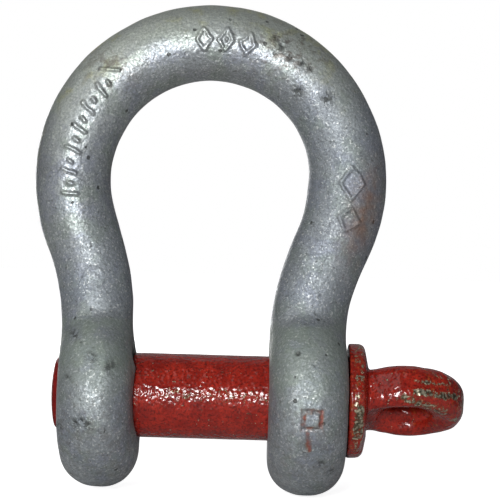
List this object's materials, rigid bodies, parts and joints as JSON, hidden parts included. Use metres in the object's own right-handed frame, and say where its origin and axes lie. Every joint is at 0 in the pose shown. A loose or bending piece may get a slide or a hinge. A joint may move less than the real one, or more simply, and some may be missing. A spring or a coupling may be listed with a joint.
{
  "type": "bow shackle",
  "caption": "Galvanised bow shackle: a round-stock bow with two forged ears, closed by a red screw pin with a collar and a pad eye.",
  "frame": {"origin": "on the screw pin's axis, on the centre plane of the crown", "axes": "+X along the pin toward its eye, +Z toward the crown of the bow, Y across the bow"},
  "size_m": [0.1486, 0.0656, 0.1667],
  "materials": {
    "galvanised_steel": "hot-dip galvanised, dull and grainy, with light rust stains",
    "red_painted_steel": "semi-gloss red enamel, worn to bare metal at the eye"
  },
  "bodies": {
    "bow": {"bow": "galvanised_steel"},
    "screw_pin": {"screw_pin": "red_painted_steel"}
  },
  "joints": [
    {"name": "pin_withdraw", "type": "slide", "parent": "bow", "child": "screw_pin", "axis": [1, 0, 0], "range_m": [0, 0.12]}
  ]
}
